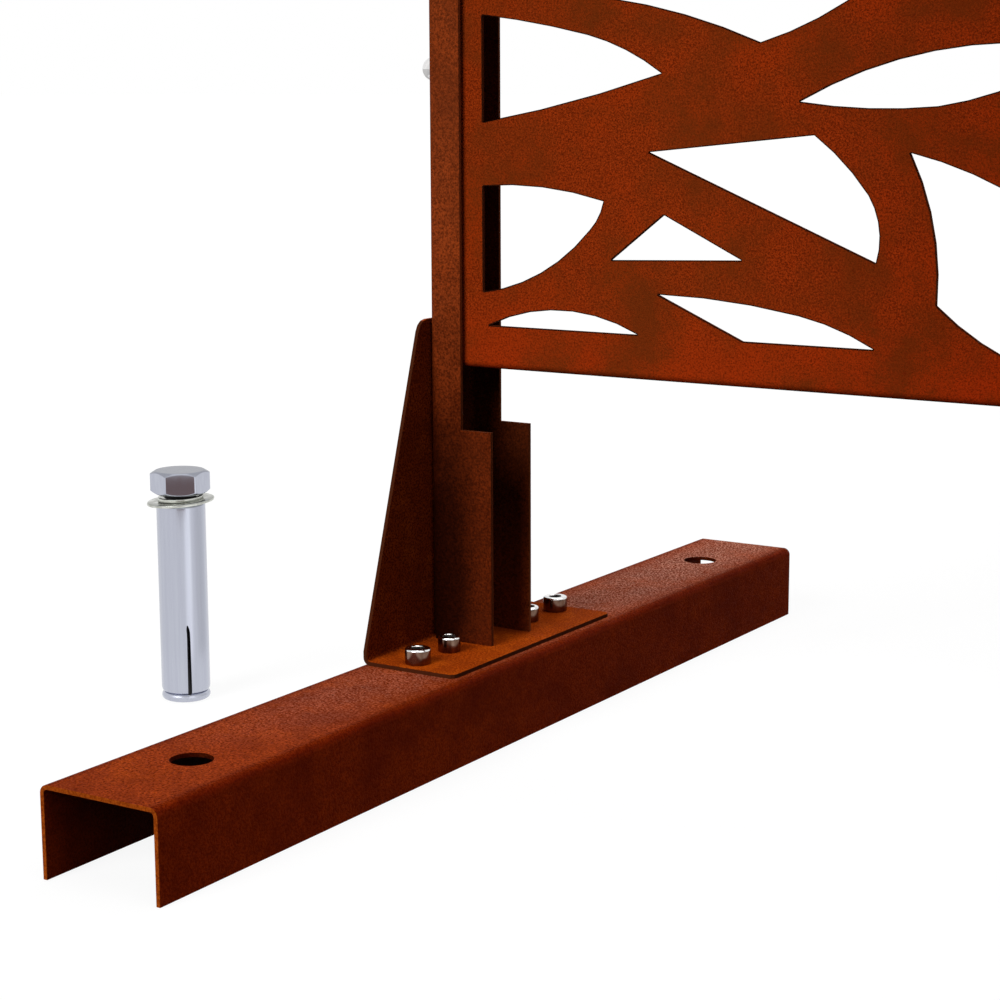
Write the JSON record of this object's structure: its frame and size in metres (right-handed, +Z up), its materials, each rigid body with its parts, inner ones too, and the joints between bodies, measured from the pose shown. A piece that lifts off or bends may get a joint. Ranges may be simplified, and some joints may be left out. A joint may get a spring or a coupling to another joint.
{
  "type": "laser cut metal screen",
  "caption": "Free-standing laser cut metal screen: a rust-coloured tray panel with a leaf and branch pattern between channel posts on long channel feet, with a ground anchor beside it.",
  "frame": {"origin": "on the floor, midway between the feet's ends and midway between the outermost pieces, which are the right bracket's cap nuts and the anchor's flat washer", "axes": "+X to the right along the screen, +Y from the panel's front to its back, +Z up"},
  "size_m": [0.9772, 0.6, 1.787],
  "materials": {
    "rusted_sheet": "matt rusted weathering steel with fine dark and light grain",
    "rusted_panel": "matt deep red-brown rusted weathering steel",
    "bright_screws": "bright",
    "zinc_plate": "bluish zinc plate"
  },
  "bodies": {
    "screen": {"left_foot": "rusted_sheet", "right_foot": "rusted_sheet", "left_bracket": "rusted_sheet", "right_bracket": "rusted_sheet", "left_post": "rusted_sheet", "right_post": "rusted_sheet", "panel": "rusted_panel", "large_base_screws": "bright_screws", "small_base_screws": "bright_screws", "large_base_nuts": "bright_screws", "small_base_nuts": "bright_screws", "bracket_bolts": "bright_screws", "bracket_cap_nuts": "bright_screws", "panel_bolts": "bright_screws", "panel_cap_nuts": "bright_screws"},
    "anchor": {"anchor_bolt": "zinc_plate", "anchor_spring_washer": "zinc_plate", "anchor_flat_washer": "zinc_plate", "anchor_sleeve": "zinc_plate", "anchor_cone": "zinc_plate"}
  },
  "joints": [
    {"name": "anchor_lift", "type": "slide", "parent": "screen", "child": "anchor", "axis": [0, 0, 1], "range_m": [0, 0.15]}
  ]
}
